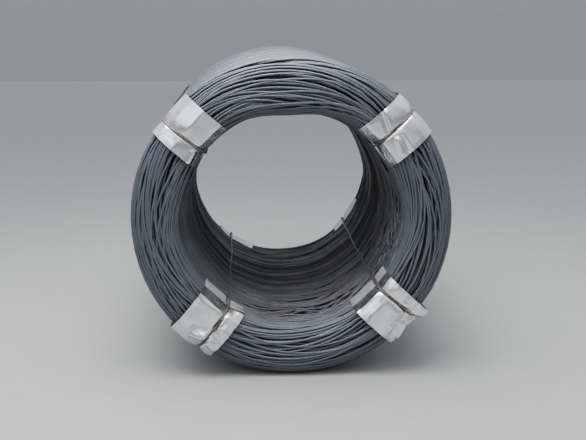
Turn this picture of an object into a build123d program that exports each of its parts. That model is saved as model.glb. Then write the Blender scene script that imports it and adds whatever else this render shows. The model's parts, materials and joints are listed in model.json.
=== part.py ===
from build123d import *
import os
from math import cos, hypot, radians, sin

os.makedirs("parts", exist_ok=True)

# Millimetres and degrees. The coil lies on its rim: its axis runs along Y at half its diameter above the
# ground, its front end faces -Y, and the ground is the plane z = 0.

# The wound coil
coil_outer_dia = 1300.0
bore_dia = 850.0
coil_length = 1600.0
rim_rounding = 80.0
mouth_rounding = 70.0

# The turns as they show on each end, in bunches that stand out as rings
turn_bunch_pitch = 40.0
turn_bunch_relief = 12.0

# The tie wires, which run through the bore and back along the outside
tie_dia = 8.0
tie_flat_angle = 36.0
tie_angles = {"upper_right": 42.0, "upper_left": 142.0, "lower_left": 234.0, "lower_right": 321.0}

# The sheet sleeves, one under each tie at each end, and how far each is turned round the coil from its tie
sleeve_width = 200.0
sleeve_thickness = 1.0
bore_flap_depth = 165.0
outer_flap_length = 230.0
sleeve_shifts = {"upper_right": -1.0, "upper_left": -3.5, "lower_left": -3.8, "lower_right": -4.2}

# Clearances, and the length over which the bore widens behind the sleeves
seat_gap = 0.3
bore_clearance = 0.3
channel_play = 0.5
mouth_margin = 20.0
mouth_taper_length = 60.0

# The most that each rounding may take of an end's width
outer_rounding_limit = 0.45
inner_rounding_limit = 0.4

# What follows from them
outer_radius = coil_outer_dia / 2
bore_radius = bore_dia / 2
half_length = coil_length / 2
tie_radius = tie_dia / 2
sleeve_lift = seat_gap + sleeve_thickness
tie_lift = sleeve_lift + seat_gap + tie_radius
# A sleeve is flat across, so its middle stands nearer to the axis than the wall that its two edges touch.
# The end turns open out just far enough for sleeve and tie to lie clear of the bore.
flap_radius = bore_radius + bore_clearance + tie_dia + seat_gap + sleeve_thickness + seat_gap
mouth_radius = hypot(flap_radius, sleeve_width / 2) + seat_gap
mouth_depth = bore_flap_depth + mouth_margin
straight_bore_half = half_length - mouth_depth - mouth_taper_length
# The two roundings of an end are as large as named, or less where the end is too narrow for both
end_width = outer_radius - mouth_radius
outer_corner_radius = min(rim_rounding, outer_rounding_limit * end_width)
inner_corner_radius = min(mouth_rounding, inner_rounding_limit * end_width)


def radial_plane(angle, end=1):
    """The plane through the coil's axis at an angle round it. Its x points outward, and its y along the
    axis, away from the front end (end = 1) or away from the rear end (end = -1)."""
    outward = (cos(radians(angle)), 0, sin(radians(angle)))
    normal = (-end * sin(radians(angle)), 0, end * cos(radians(angle)))
    return Plane(origin=(0, 0, outer_radius), x_dir=outward, z_dir=normal)


def end_wrap(inner_radius, lift, inner_depth, outer_depth):
    """Draws in the open BuildLine the line that wraps the front end from bore to rim, standing a given
    lift off it. The depths say how far it reaches back along the bore wall and along the outside. Returns
    its two ends."""
    face_y = -half_length - lift
    first = (inner_radius - lift, -half_length + inner_depth)
    last = (outer_radius + lift, -half_length + outer_depth)
    inner_centre = (inner_radius + inner_corner_radius, -half_length + inner_corner_radius)
    outer_centre = (outer_radius - outer_corner_radius, -half_length + outer_corner_radius)
    Line(first, (first[0], inner_centre[1]))
    CenterArc(inner_centre, inner_corner_radius + lift, 180, 90)
    Line((inner_centre[0], face_y), (outer_centre[0], face_y))
    CenterArc(outer_centre, outer_corner_radius + lift, 270, 90)
    Line((last[0], outer_centre[1]), last)
    return first, last


def bunched_turns():
    """The corners of the ringed end, from the bore wall to the rim, for the front end. Crests lie on the
    wrap line at lift 0, and valleys one relief inside it."""
    with BuildLine() as crest_line:
        end_wrap(mouth_radius, 0, mouth_depth, outer_flap_length)
    arc_and_face = Wire(crest_line.edges()[1:4])
    bunches = round(arc_and_face.length / turn_bunch_pitch)
    corners = [arc_and_face @ 0]
    for number in range(bunches):
        crest = (number + 0.5) / bunches
        corners.append(arc_and_face @ crest)
        if number < bunches - 1:
            valley = (number + 1) / bunches
            along = arc_and_face % valley
            inward = Vector(-along.Y, along.X)
            corners.append(arc_and_face @ valley + inward * turn_bunch_relief)
    corners.append(arc_and_face @ 1)
    return [(corner.X, corner.Y) for corner in corners]


def make_coil():
    """The wound rod as one turned solid with its bore, its turns showing as rings on both ends, and a
    channel in the bore wall for each tie, which beds between the innermost turns."""
    front = [(bore_radius, -straight_bore_half), (mouth_radius, -half_length + mouth_depth)]
    front += bunched_turns()
    rear = [(x, -y) for x, y in reversed(front)]
    with BuildPart() as coil:
        with BuildSketch(radial_plane(0)):
            with BuildLine():
                Polyline(*front, *rear, close=True)
            make_face()
        revolve(axis=Axis((0, 0, outer_radius), (0, 1, 0)))
        for name, angle in tie_angles.items():
            floor_radius = tie_run_radii(name)[0] + tie_radius + channel_play
            with BuildSketch(radial_plane(angle)):
                with Locations(((bore_radius - channel_play + floor_radius) / 2, 0)):
                    Rectangle(floor_radius - bore_radius + channel_play, 2 * (half_length - mouth_depth))
            extrude(amount=tie_radius + channel_play, both=True, mode=Mode.SUBTRACT)
    return coil


def tie_run_radii(name):
    """How far a tie's two long runs lie from the coil's axis: in the bore, and outside. A sleeve is flat
    across, so a tie that crosses it off its middle runs a little further out."""
    slope = cos(radians(sleeve_shifts[name]))
    return (flap_radius + seat_gap - tie_lift) / slope, (outer_radius + tie_lift) / slope


def make_tie(name, angle):
    """One tie: a closed loop of wire in a plane through the axis, bent round both ends of the coil. Its
    section is round but for narrow flats, which keep its long faces plain."""
    inner_run, outer_run = tie_run_radii(name)
    inner_bend = inner_corner_radius + tie_lift
    outer_bend = outer_corner_radius + tie_lift
    end_y = half_length + tie_lift
    with BuildPart() as tie:
        with BuildLine(radial_plane(angle)) as loop:
            Line((inner_run, -end_y + inner_bend), (inner_run, end_y - inner_bend))
            CenterArc((inner_run + inner_bend, end_y - inner_bend), inner_bend, 180, -90)
            Line((inner_run + inner_bend, end_y), (outer_run - outer_bend, end_y))
            CenterArc((outer_run - outer_bend, end_y - outer_bend), outer_bend, 90, -90)
            Line((outer_run, end_y - outer_bend), (outer_run, -end_y + outer_bend))
            CenterArc((outer_run - outer_bend, -end_y + outer_bend), outer_bend, 0, -90)
            Line((outer_run - outer_bend, -end_y), (inner_run + inner_bend, -end_y))
            CenterArc((inner_run + inner_bend, -end_y + inner_bend), inner_bend, 270, -90)
        start = Plane(origin=loop.wire() @ 0, z_dir=loop.wire() % 0)
        with BuildSketch(start):
            RegularPolygon(tie_radius, round(360 / tie_flat_angle))
        sweep(path=loop.wire())
    return tie


def make_sleeve(angle, end):
    """One sleeve: a strip of sheet bent over an end of the coil, from inside the bore to the outside."""
    wall_radius = flap_radius + seat_gap
    with BuildPart() as sleeve:
        with BuildSketch(radial_plane(angle, end)):
            with BuildLine():
                under = end_wrap(wall_radius, seat_gap, bore_flap_depth, outer_flap_length)
                over = end_wrap(wall_radius, sleeve_lift, bore_flap_depth, outer_flap_length)
                Line(under[0], over[0])
                Line(under[1], over[1])
            make_face()
        extrude(amount=sleeve_width / 2, both=True)
    return sleeve


def keep(builder, label):
    """Labels a finished piece and writes it as its own file."""
    builder.part.label = label
    export_step(builder.part, f"parts/{label}.step")


keep(make_coil(), "wire_rod_coil")
for place, tie_angle in tie_angles.items():
    keep(make_tie(place, tie_angle), f"tie_wire_{place}")
    keep(make_sleeve(tie_angle + sleeve_shifts[place], 1), f"front_sleeve_{place}")
    keep(make_sleeve(tie_angle - sleeve_shifts[place], -1), f"rear_sleeve_{place}")
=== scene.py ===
"""The looks of a coil of hot-rolled steel wire rod, tied with wires over bright sheet-metal sleeves.

The rod is laid turn on turn as a laying head drops it, pressed to the coil's size and bedded under the ties.
Each sleeve is a sheet bent over an end of the coil and creased by its tie. All lengths are metres.
"""

import json
import logging
import math
from dataclasses import dataclass, field
from enum import Enum

import bpy
import numpy as np
from mathutils import Euler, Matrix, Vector

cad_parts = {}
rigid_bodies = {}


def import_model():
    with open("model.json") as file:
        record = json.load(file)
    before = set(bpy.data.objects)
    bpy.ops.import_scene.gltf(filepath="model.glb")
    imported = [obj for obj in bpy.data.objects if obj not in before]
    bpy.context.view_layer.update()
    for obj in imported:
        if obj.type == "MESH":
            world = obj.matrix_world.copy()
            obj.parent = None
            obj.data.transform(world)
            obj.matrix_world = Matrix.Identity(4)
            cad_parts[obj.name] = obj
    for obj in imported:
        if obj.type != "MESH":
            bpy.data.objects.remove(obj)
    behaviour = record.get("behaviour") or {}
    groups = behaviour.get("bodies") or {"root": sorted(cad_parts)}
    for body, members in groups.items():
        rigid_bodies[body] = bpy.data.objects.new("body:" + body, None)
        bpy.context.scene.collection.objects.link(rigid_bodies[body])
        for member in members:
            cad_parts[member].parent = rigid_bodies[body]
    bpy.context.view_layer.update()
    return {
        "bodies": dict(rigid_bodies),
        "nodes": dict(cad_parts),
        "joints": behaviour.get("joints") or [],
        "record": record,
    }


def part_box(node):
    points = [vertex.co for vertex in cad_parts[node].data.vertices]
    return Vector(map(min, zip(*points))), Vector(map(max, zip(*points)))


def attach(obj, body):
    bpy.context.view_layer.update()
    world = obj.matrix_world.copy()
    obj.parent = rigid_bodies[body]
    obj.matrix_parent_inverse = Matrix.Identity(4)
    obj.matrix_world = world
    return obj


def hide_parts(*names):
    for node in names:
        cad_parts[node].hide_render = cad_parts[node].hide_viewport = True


LOG = logging.getLogger("coil")
ROOT_BODY = "root"

Colour = tuple[float, float, float]
Point = tuple[float, float, float]
Span = tuple[float, float]


class CoilEnd(Enum):
    """The two ends of the coil, by the sign of their side along the axis."""

    FRONT = -1
    REAR = 1


class Place(Enum):
    """Where a tie and its two sleeves sit round the coil, seen from the front."""

    UPPER_RIGHT = "upper_right"
    UPPER_LEFT = "upper_left"
    LOWER_LEFT = "lower_left"
    LOWER_RIGHT = "lower_right"


TIE_DEGREES = {
    Place.UPPER_RIGHT: 42.0,
    Place.UPPER_LEFT: 142.0,
    Place.LOWER_LEFT: 234.0,
    Place.LOWER_RIGHT: 321.0,
}
SLEEVE_SHIFT_DEGREES = {
    Place.UPPER_RIGHT: -1.0,
    Place.UPPER_LEFT: -3.5,
    Place.LOWER_LEFT: -3.8,
    Place.LOWER_RIGHT: -4.2,
}


def smooth_step(low: float, high: float, value: np.ndarray) -> np.ndarray:
    """Eases values from 0, at low and below it, to 1, at high and above it."""
    share = np.clip((value - low) / (high - low), 0.0, 1.0)
    return share * share * (3.0 - 2.0 * share)


def angle_apart(angles: np.ndarray, middle: float) -> np.ndarray:
    """The signed angle from middle to each angle, in radians, the short way round."""
    return (angles - middle + math.pi) % (2 * math.pi) - math.pi


def even_noise(
    rows: int, columns: int, row_cells: int, column_cells: int, rng: np.random.Generator
) -> np.ndarray:
    """Smooth random relief on a grid, from random heights on a coarser grid.

    Args:
        rows: How many rows the grid has.
        columns: How many columns the grid has.
        row_cells: How many coarse cells lie along the rows' direction.
        column_cells: How many coarse cells lie along the columns' direction.
        rng: The random source.

    Returns:
        A rows by columns array, between about -1 and 1.
    """
    coarse = rng.uniform(-1.0, 1.0, (row_cells + 2, column_cells + 2))
    y, x = np.linspace(0, row_cells, rows), np.linspace(0, column_cells, columns)
    yi, xi = np.minimum(y.astype(int), row_cells), np.minimum(x.astype(int), column_cells)
    fy, fx = smooth_step(0, 1, y - yi)[:, None], smooth_step(0, 1, x - xi)[None, :]
    top = coarse[np.ix_(yi, xi)] * (1 - fx) + coarse[np.ix_(yi, xi + 1)] * fx
    low = coarse[np.ix_(yi + 1, xi)] * (1 - fx) + coarse[np.ix_(yi + 1, xi + 1)] * fx
    return top * (1 - fy) + low * fy


def deselect_all() -> None:
    """Leaves object mode ready for one new piece, with nothing selected."""
    if bpy.context.object and bpy.context.object.mode != "OBJECT":
        bpy.ops.object.mode_set(mode="OBJECT")
    bpy.ops.object.select_all(action="DESELECT")


def apply_modifiers(piece: bpy.types.Object) -> None:
    """Applies every modifier of a piece, in order.

    Args:
        piece: The object whose modifiers are applied.
    """
    deselect_all()
    bpy.context.view_layer.objects.active = piece
    piece.select_set(True)
    for name in [modifier.name for modifier in piece.modifiers]:
        bpy.ops.object.modifier_apply(modifier=name)


def finish_piece(
    piece: bpy.types.Object, name: str, material: bpy.types.Material, node: str
) -> None:
    """Names and dresses a piece, hangs it on the root body, and hides the node that it replaces.

    Args:
        piece: The finished object, at the origin.
        name: The piece's name.
        material: Its finish.
        node: The node of the frame that the piece replaces.
    """
    piece.name = name
    piece.data.name = name
    piece.data.materials.clear()
    piece.data.materials.append(material)
    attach(piece, ROOT_BODY)
    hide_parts(node)


@dataclass(frozen=True)
class CoilBody:
    """The coil's main sizes, shared by the rod, the sleeves and the ties.

    The outside, the length and the bore are read from the frame. A point of a profile is given as its
    distance from the coil's axis and its distance from the coil's middle along the axis.
    """

    outer_radius: float
    half_length: float
    bore_radius: float
    rim_rounding: float = 0.080
    mouth_rounding: float = 0.070
    mouth_depth: float = 0.185
    mouth_taper: float = 0.060
    sleeve_width: float = 0.200
    sheet: float = 0.001
    seat_gap: float = 0.0003
    tie_radius: float = 0.004

    @classmethod
    def from_frame(cls, frame: dict) -> "CoilBody":
        """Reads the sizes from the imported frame.

        Args:
            frame: The frame, with its record of the bore.

        Returns:
            The coil's sizes.
        """
        low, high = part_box("wire_rod_coil")
        bore = next(m for m in frame["record"]["mounts"] if m["name"] == "bore")
        return cls(
            outer_radius=round((high.z - low.z) / 2, 3),
            half_length=round((high.y - low.y) / 2, 3),
            bore_radius=bore["dims"]["r_mm"] / 1000,
        )

    @property
    def flap_radius(self) -> float:
        """How far the middle of a sleeve's flap in the bore stands from the axis."""
        return self.bore_radius + 3 * self.seat_gap + 2 * self.tie_radius + self.sheet

    @property
    def mouth_radius(self) -> float:
        """The bore's radius at its two mouths, under the sleeves."""
        return math.hypot(self.flap_radius, self.sleeve_width / 2) + self.seat_gap

    @property
    def tie_lift(self) -> float:
        """How far a tie's middle stands off the turns."""
        return 2 * self.seat_gap + self.sheet + self.tie_radius

    def end_drop(self, radius: np.ndarray) -> np.ndarray:
        """How far the rounded end lies behind its flat middle.

        Args:
            radius: Distances from the axis.

        Returns:
            The drop at each of them.
        """
        inner, outer = self.mouth_radius + self.mouth_rounding, self.outer_radius - self.rim_rounding
        in_part = np.clip(inner - radius, 0.0, self.mouth_rounding)
        out_part = np.clip(radius - outer, 0.0, self.rim_rounding)
        drop_in = self.mouth_rounding - np.sqrt(self.mouth_rounding**2 - in_part**2)
        drop_out = self.rim_rounding - np.sqrt(self.rim_rounding**2 - out_part**2)
        return drop_in + drop_out

    def to_space(self, angle: np.ndarray, radius: np.ndarray, along: np.ndarray) -> np.ndarray:
        """Points of the row frame from their angle, their distance from the coil's axis and place along it.

        Args:
            angle: Radians round the axis, from +X towards +Z.
            radius: Distances from the axis.
            along: Places along Y.

        Returns:
            An array of points, one row each.
        """
        x = radius * np.cos(angle)
        z = self.outer_radius + radius * np.sin(angle)
        return np.stack([x, along + 0 * x, z], axis=-1)


@dataclass(frozen=True)
class Grain:
    """A noise pattern: how many cells it has a metre, how many finer layers, and how strong they are."""

    scale: float
    detail: float
    roughness: float


@dataclass(frozen=True)
class Reach:
    """The part of a pattern, from low to high, over which a value goes from first to last."""

    low: float
    high: float
    first: float
    last: float


class NodeBench:
    """A material's node tree, with short calls that add and link its nodes."""

    def __init__(self, name: str) -> None:
        """Starts a material that holds a principled shader.

        Args:
            name: The material's name.
        """
        self.material = bpy.data.materials.new(name)
        self.material.use_nodes = True
        self.tree = self.material.node_tree
        self.shader = self.tree.nodes["Principled BSDF"]
        self.place = self.tree.nodes.new("ShaderNodeTexCoord").outputs["Object"]

    def add(self, kind: str, inputs: dict, **settings: object) -> bpy.types.Node:
        """Adds a node, sets its options, and links or sets its inputs.

        Args:
            kind: The node's type.
            inputs: Input names or numbers, with a socket to link or a value to set.
            settings: The node's own options.

        Returns:
            The new node.
        """
        node = self.tree.nodes.new(kind)
        for key, value in settings.items():
            setattr(node, key, value)
        for key, value in inputs.items():
            if isinstance(value, bpy.types.NodeSocket):
                self.tree.links.new(value, node.inputs[key])
            else:
                node.inputs[key].default_value = value
        return node

    def noise(self, grain: Grain, place: bpy.types.NodeSocket | None = None) -> bpy.types.NodeSocket:
        """A noise pattern, as a grey value.

        Args:
            grain: The pattern's settings.
            place: The coordinates it lies on, or the piece's own ones.

        Returns:
            The pattern.
        """
        inputs = {
            "Vector": place or self.place,
            "Scale": grain.scale,
            "Detail": grain.detail,
            "Roughness": grain.roughness,
        }
        return self.add("ShaderNodeTexNoise", inputs).outputs["Fac"]

    def ramp(self, value: bpy.types.NodeSocket, stops: list[tuple[float, Colour]]) -> bpy.types.NodeSocket:
        """Colours for a grey value.

        Args:
            value: The grey value.
            stops: The places of the colours along it, each with its colour.

        Returns:
            The colour.
        """
        node = self.add("ShaderNodeValToRGB", {"Fac": value})
        elements = node.color_ramp.elements
        while len(elements) < len(stops):
            elements.new(0.5)
        for element, (position, colour) in zip(elements, stops):
            element.position = position
            element.color = (*colour, 1.0)
        return node.outputs["Color"]

    def spread(self, value: bpy.types.NodeSocket, reach: Reach) -> bpy.types.NodeSocket:
        """Maps a value from one range to another, within its ends.

        Args:
            value: The value.
            reach: The two ranges.

        Returns:
            The mapped value.
        """
        inputs = {
            "Value": value,
            "From Min": reach.low,
            "From Max": reach.high,
            "To Min": reach.first,
            "To Max": reach.last,
        }
        return self.add("ShaderNodeMapRange", inputs).outputs["Result"]

    def mix(
        self, share: bpy.types.NodeSocket, first: bpy.types.NodeSocket, second: Colour
    ) -> bpy.types.NodeSocket:
        """Mixes a colour into another.

        Args:
            share: How much of the second colour shows.
            first: The colour that is there already.
            second: The colour that is mixed in.

        Returns:
            The mixed colour.
        """
        node = self.add("ShaderNodeMix", {"Factor": share}, data_type="RGBA", blend_type="MIX")
        colour_inputs = [socket for socket in node.inputs if socket.type == "RGBA"]
        self.tree.links.new(first, colour_inputs[0])
        colour_inputs[1].default_value = (*second, 1.0)
        return next(socket for socket in node.outputs if socket.type == "RGBA")

    def math(
        self, operation: str, first: bpy.types.NodeSocket, second: bpy.types.NodeSocket | float = 0.0
    ) -> bpy.types.NodeSocket:
        """One step of arithmetic, on one value or on two."""
        return self.add("ShaderNodeMath", {0: first, 1: second}, operation=operation).outputs[0]

    def bump(self, height: bpy.types.NodeSocket, depth: float, strength: float) -> None:
        """Gives the shader a bump of a real depth, and says how strongly the light shows it."""
        node = self.add("ShaderNodeBump", {"Height": height, "Distance": depth, "Strength": strength})
        self.link(node.outputs["Normal"], "Normal")

    def link(self, socket: bpy.types.NodeSocket, name: str) -> None:
        """Links a value to one of the shader's inputs."""
        self.tree.links.new(socket, self.shader.inputs[name])


@dataclass(frozen=True)
class MillScale:
    """The blue-grey scale of hot-rolled rod, with flakes, dust, painted glints and a browner shade that
    faces the bore.

    The shade changes along the rod, so that neighbouring turns differ.
    """

    axis_height: float
    brown_radius: float
    run_length: float
    blue: Colour = (0.088, 0.107, 0.134)
    pale: Colour = (0.158, 0.181, 0.213)
    dark: Colour = (0.034, 0.039, 0.047)
    glint_colour: Colour = (0.230, 0.245, 0.265)
    dust: Colour = (0.150, 0.130, 0.110)
    brown: Colour = (0.128, 0.103, 0.084)
    shade_stops: tuple[float, float, float, float] = (0.40, 0.48, 0.56, 0.66)
    shades_a_metre: float = 0.9
    shade_detail: float = 2.0
    streaks_a_metre: float = 14.0
    streak_detail: float = 4.0
    streak_reach: Reach = Reach(0.48, 0.70, 0.0, 0.55)
    around_scale: float = 0.8
    along_roughness: float = 0.6
    flake_grain: Grain = Grain(240.0, 4.0, 0.70)
    flake_reach: Reach = Reach(0.50, 0.68, 0.0, 0.45)
    flake_gloss: Reach = Reach(0.35, 0.70, 0.34, 0.62)
    flake_depth: float = 0.0004
    flake_bump: float = 0.6
    # Painted glints: tiny bright specks painted into the colour, standing in for highlights.
    glint_grain: Grain = Grain(420.0, 3.0, 0.6)
    glint_reach: Reach = Reach(0.60, 0.72, 0.0, 0.45)
    dust_grain: Grain = Grain(18.0, 5.0, 0.7)
    dust_reach: Reach = Reach(0.54, 0.76, 0.0, 0.35)
    brown_grain: Grain = Grain(5.0, 4.0, 0.7)
    brown_edge: Reach = Reach(0.3, 0.7, -0.03, 0.03)
    brown_depth: float = 0.04
    brown_share: Span = (0.42, 0.03)
    metallic: float = 0.45
    specular: float = 0.35

    def _along_rod(self, bench: NodeBench, per_metre: float, detail: float) -> bpy.types.NodeSocket:
        """A grey pattern that follows the rod.

        Args:
            bench: The material's nodes.
            per_metre: How often the pattern changes along the rod.
            detail: How fine its detail is.

        Returns:
            The pattern.
        """
        wrap = bench.add("ShaderNodeTexCoord", {}).outputs["UV"]
        split = bench.add("ShaderNodeSeparateXYZ", {"Vector": wrap})
        along = bench.math("MULTIPLY", split.outputs["Y"], self.run_length * per_metre)
        around = bench.math("MULTIPLY", split.outputs["X"], self.around_scale)
        place = bench.add("ShaderNodeCombineXYZ", {"X": along, "Y": around}).outputs["Vector"]
        return bench.noise(Grain(1.0, detail, self.along_roughness), place)

    def _near_bore(self, bench: NodeBench) -> bpy.types.NodeSocket:
        """How brown the rod is at each place, by its distance from the coil's axis.

        Args:
            bench: The material's nodes.

        Returns:
            The share of brown.
        """
        split = bench.add("ShaderNodeSeparateXYZ", {"Vector": bench.place})
        height = bench.math("SUBTRACT", split.outputs["Z"], self.axis_height)
        square = bench.math("POWER", split.outputs["X"], 2.0)
        square = bench.math("ADD", square, bench.math("POWER", height, 2.0))
        radius = bench.math("SQRT", square)
        edge = bench.spread(bench.noise(self.brown_grain), self.brown_edge)
        ragged = bench.math("ADD", radius, edge)
        last = self.brown_radius + self.brown_depth
        return bench.spread(ragged, Reach(self.brown_radius, last, *self.brown_share))

    def material(self) -> bpy.types.Material:
        """Builds the finish.

        Returns:
            The material.
        """
        bench = NodeBench("mill_scale")
        shades = self._along_rod(bench, self.shades_a_metre, self.shade_detail)
        streaks = self._along_rod(bench, self.streaks_a_metre, self.streak_detail)
        flakes = bench.noise(self.flake_grain)
        colours = (self.dark, self.blue, self.pale, self.blue)
        base = bench.ramp(shades, list(zip(self.shade_stops, colours)))
        base = bench.mix(bench.spread(streaks, self.streak_reach), base, self.dark)
        worn = bench.mix(bench.spread(flakes, self.flake_reach), base, self.dark)
        # Painted glints: the specks lighten the colour towards the glint colour, in place of real
        # highlights.
        glints = bench.spread(bench.noise(self.glint_grain), self.glint_reach)
        bright = bench.mix(glints, worn, self.glint_colour)
        dust = bench.spread(bench.noise(self.dust_grain), self.dust_reach)
        dusty = bench.mix(dust, bright, self.dust)
        bench.link(bench.mix(self._near_bore(bench), dusty, self.brown), "Base Color")
        bench.link(bench.spread(flakes, self.flake_gloss), "Roughness")
        bench.shader.inputs["Metallic"].default_value = self.metallic
        bench.shader.inputs["Specular IOR Level"].default_value = self.specular
        bench.bump(flakes, self.flake_depth, self.flake_bump)
        return bench.material


@dataclass(frozen=True)
class ZincSheet:
    """Thin bright zinc-coated sheet, a little clouded, rubbed and dusty."""

    bright: Colour = (0.84, 0.85, 0.86)
    dull: Colour = (0.58, 0.60, 0.63)
    dust: Colour = (0.42, 0.40, 0.38)
    cloud_grain: Grain = Grain(11.0, 5.0, 0.62)
    cloud_stops: Span = (0.34, 0.60)
    speck_grain: Grain = Grain(75.0, 5.0, 0.75)
    speck_reach: Reach = Reach(0.60, 0.76, 0.0, 0.45)
    rub_grain: Grain = Grain(38.0, 5.0, 0.70)
    rub_gloss: Reach = Reach(0.35, 0.68, 0.17, 0.30)
    ripple_grain: Grain = Grain(55.0, 4.0, 0.6)
    ripple_depth: float = 0.0006
    ripple_bump: float = 0.30
    metallic: float = 0.97

    def material(self) -> bpy.types.Material:
        """Builds the finish.

        Returns:
            The material.
        """
        bench = NodeBench("zinc_sheet")
        clouds = bench.noise(self.cloud_grain)
        base = bench.ramp(clouds, list(zip(self.cloud_stops, (self.dull, self.bright))))
        specks = bench.spread(bench.noise(self.speck_grain), self.speck_reach)
        bench.link(bench.mix(specks, base, self.dust), "Base Color")
        bench.link(bench.spread(bench.noise(self.rub_grain), self.rub_gloss), "Roughness")
        bench.shader.inputs["Metallic"].default_value = self.metallic
        bench.bump(bench.noise(self.ripple_grain), self.ripple_depth, self.ripple_bump)
        return bench.material


@dataclass(frozen=True)
class TieSteel:
    """Soft black wire, dull and a little scuffed."""

    dark: Colour = (0.075, 0.066, 0.060)
    scuffed: Colour = (0.230, 0.200, 0.175)
    scuff_grain: Grain = Grain(90.0, 4.0, 0.65)
    scuff_stops: Span = (0.45, 0.72)
    scuff_gloss: Reach = Reach(0.3, 0.7, 0.40, 0.62)
    scuff_depth: float = 0.0002
    scuff_bump: float = 0.4
    metallic: float = 0.6

    def material(self) -> bpy.types.Material:
        """Builds the finish.

        Returns:
            The material.
        """
        bench = NodeBench("tie_steel")
        scuffs = bench.noise(self.scuff_grain)
        colour = bench.ramp(scuffs, list(zip(self.scuff_stops, (self.dark, self.scuffed))))
        bench.link(colour, "Base Color")
        bench.link(bench.spread(scuffs, self.scuff_gloss), "Roughness")
        bench.shader.inputs["Metallic"].default_value = self.metallic
        bench.bump(scuffs, self.scuff_depth, self.scuff_bump)
        return bench.material


@dataclass(frozen=True)
class PaleFloor:
    """A plain pale ground, matt and even."""

    colour: Colour = (0.26, 0.26, 0.256)
    lighter: float = 1.06
    grain: Grain = Grain(6.0, 4.0, 0.6)
    stops: Span = (0.3, 0.7)
    roughness: float = 0.85

    def material(self) -> bpy.types.Material:
        """Builds the finish.

        Returns:
            The material.
        """
        bench = NodeBench("pale_floor")
        light = tuple(self.lighter * part for part in self.colour)
        colour = bench.ramp(bench.noise(self.grain), list(zip(self.stops, (self.colour, light))))
        bench.link(colour, "Base Color")
        bench.shader.inputs["Roughness"].default_value = self.roughness
        return bench.material


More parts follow.
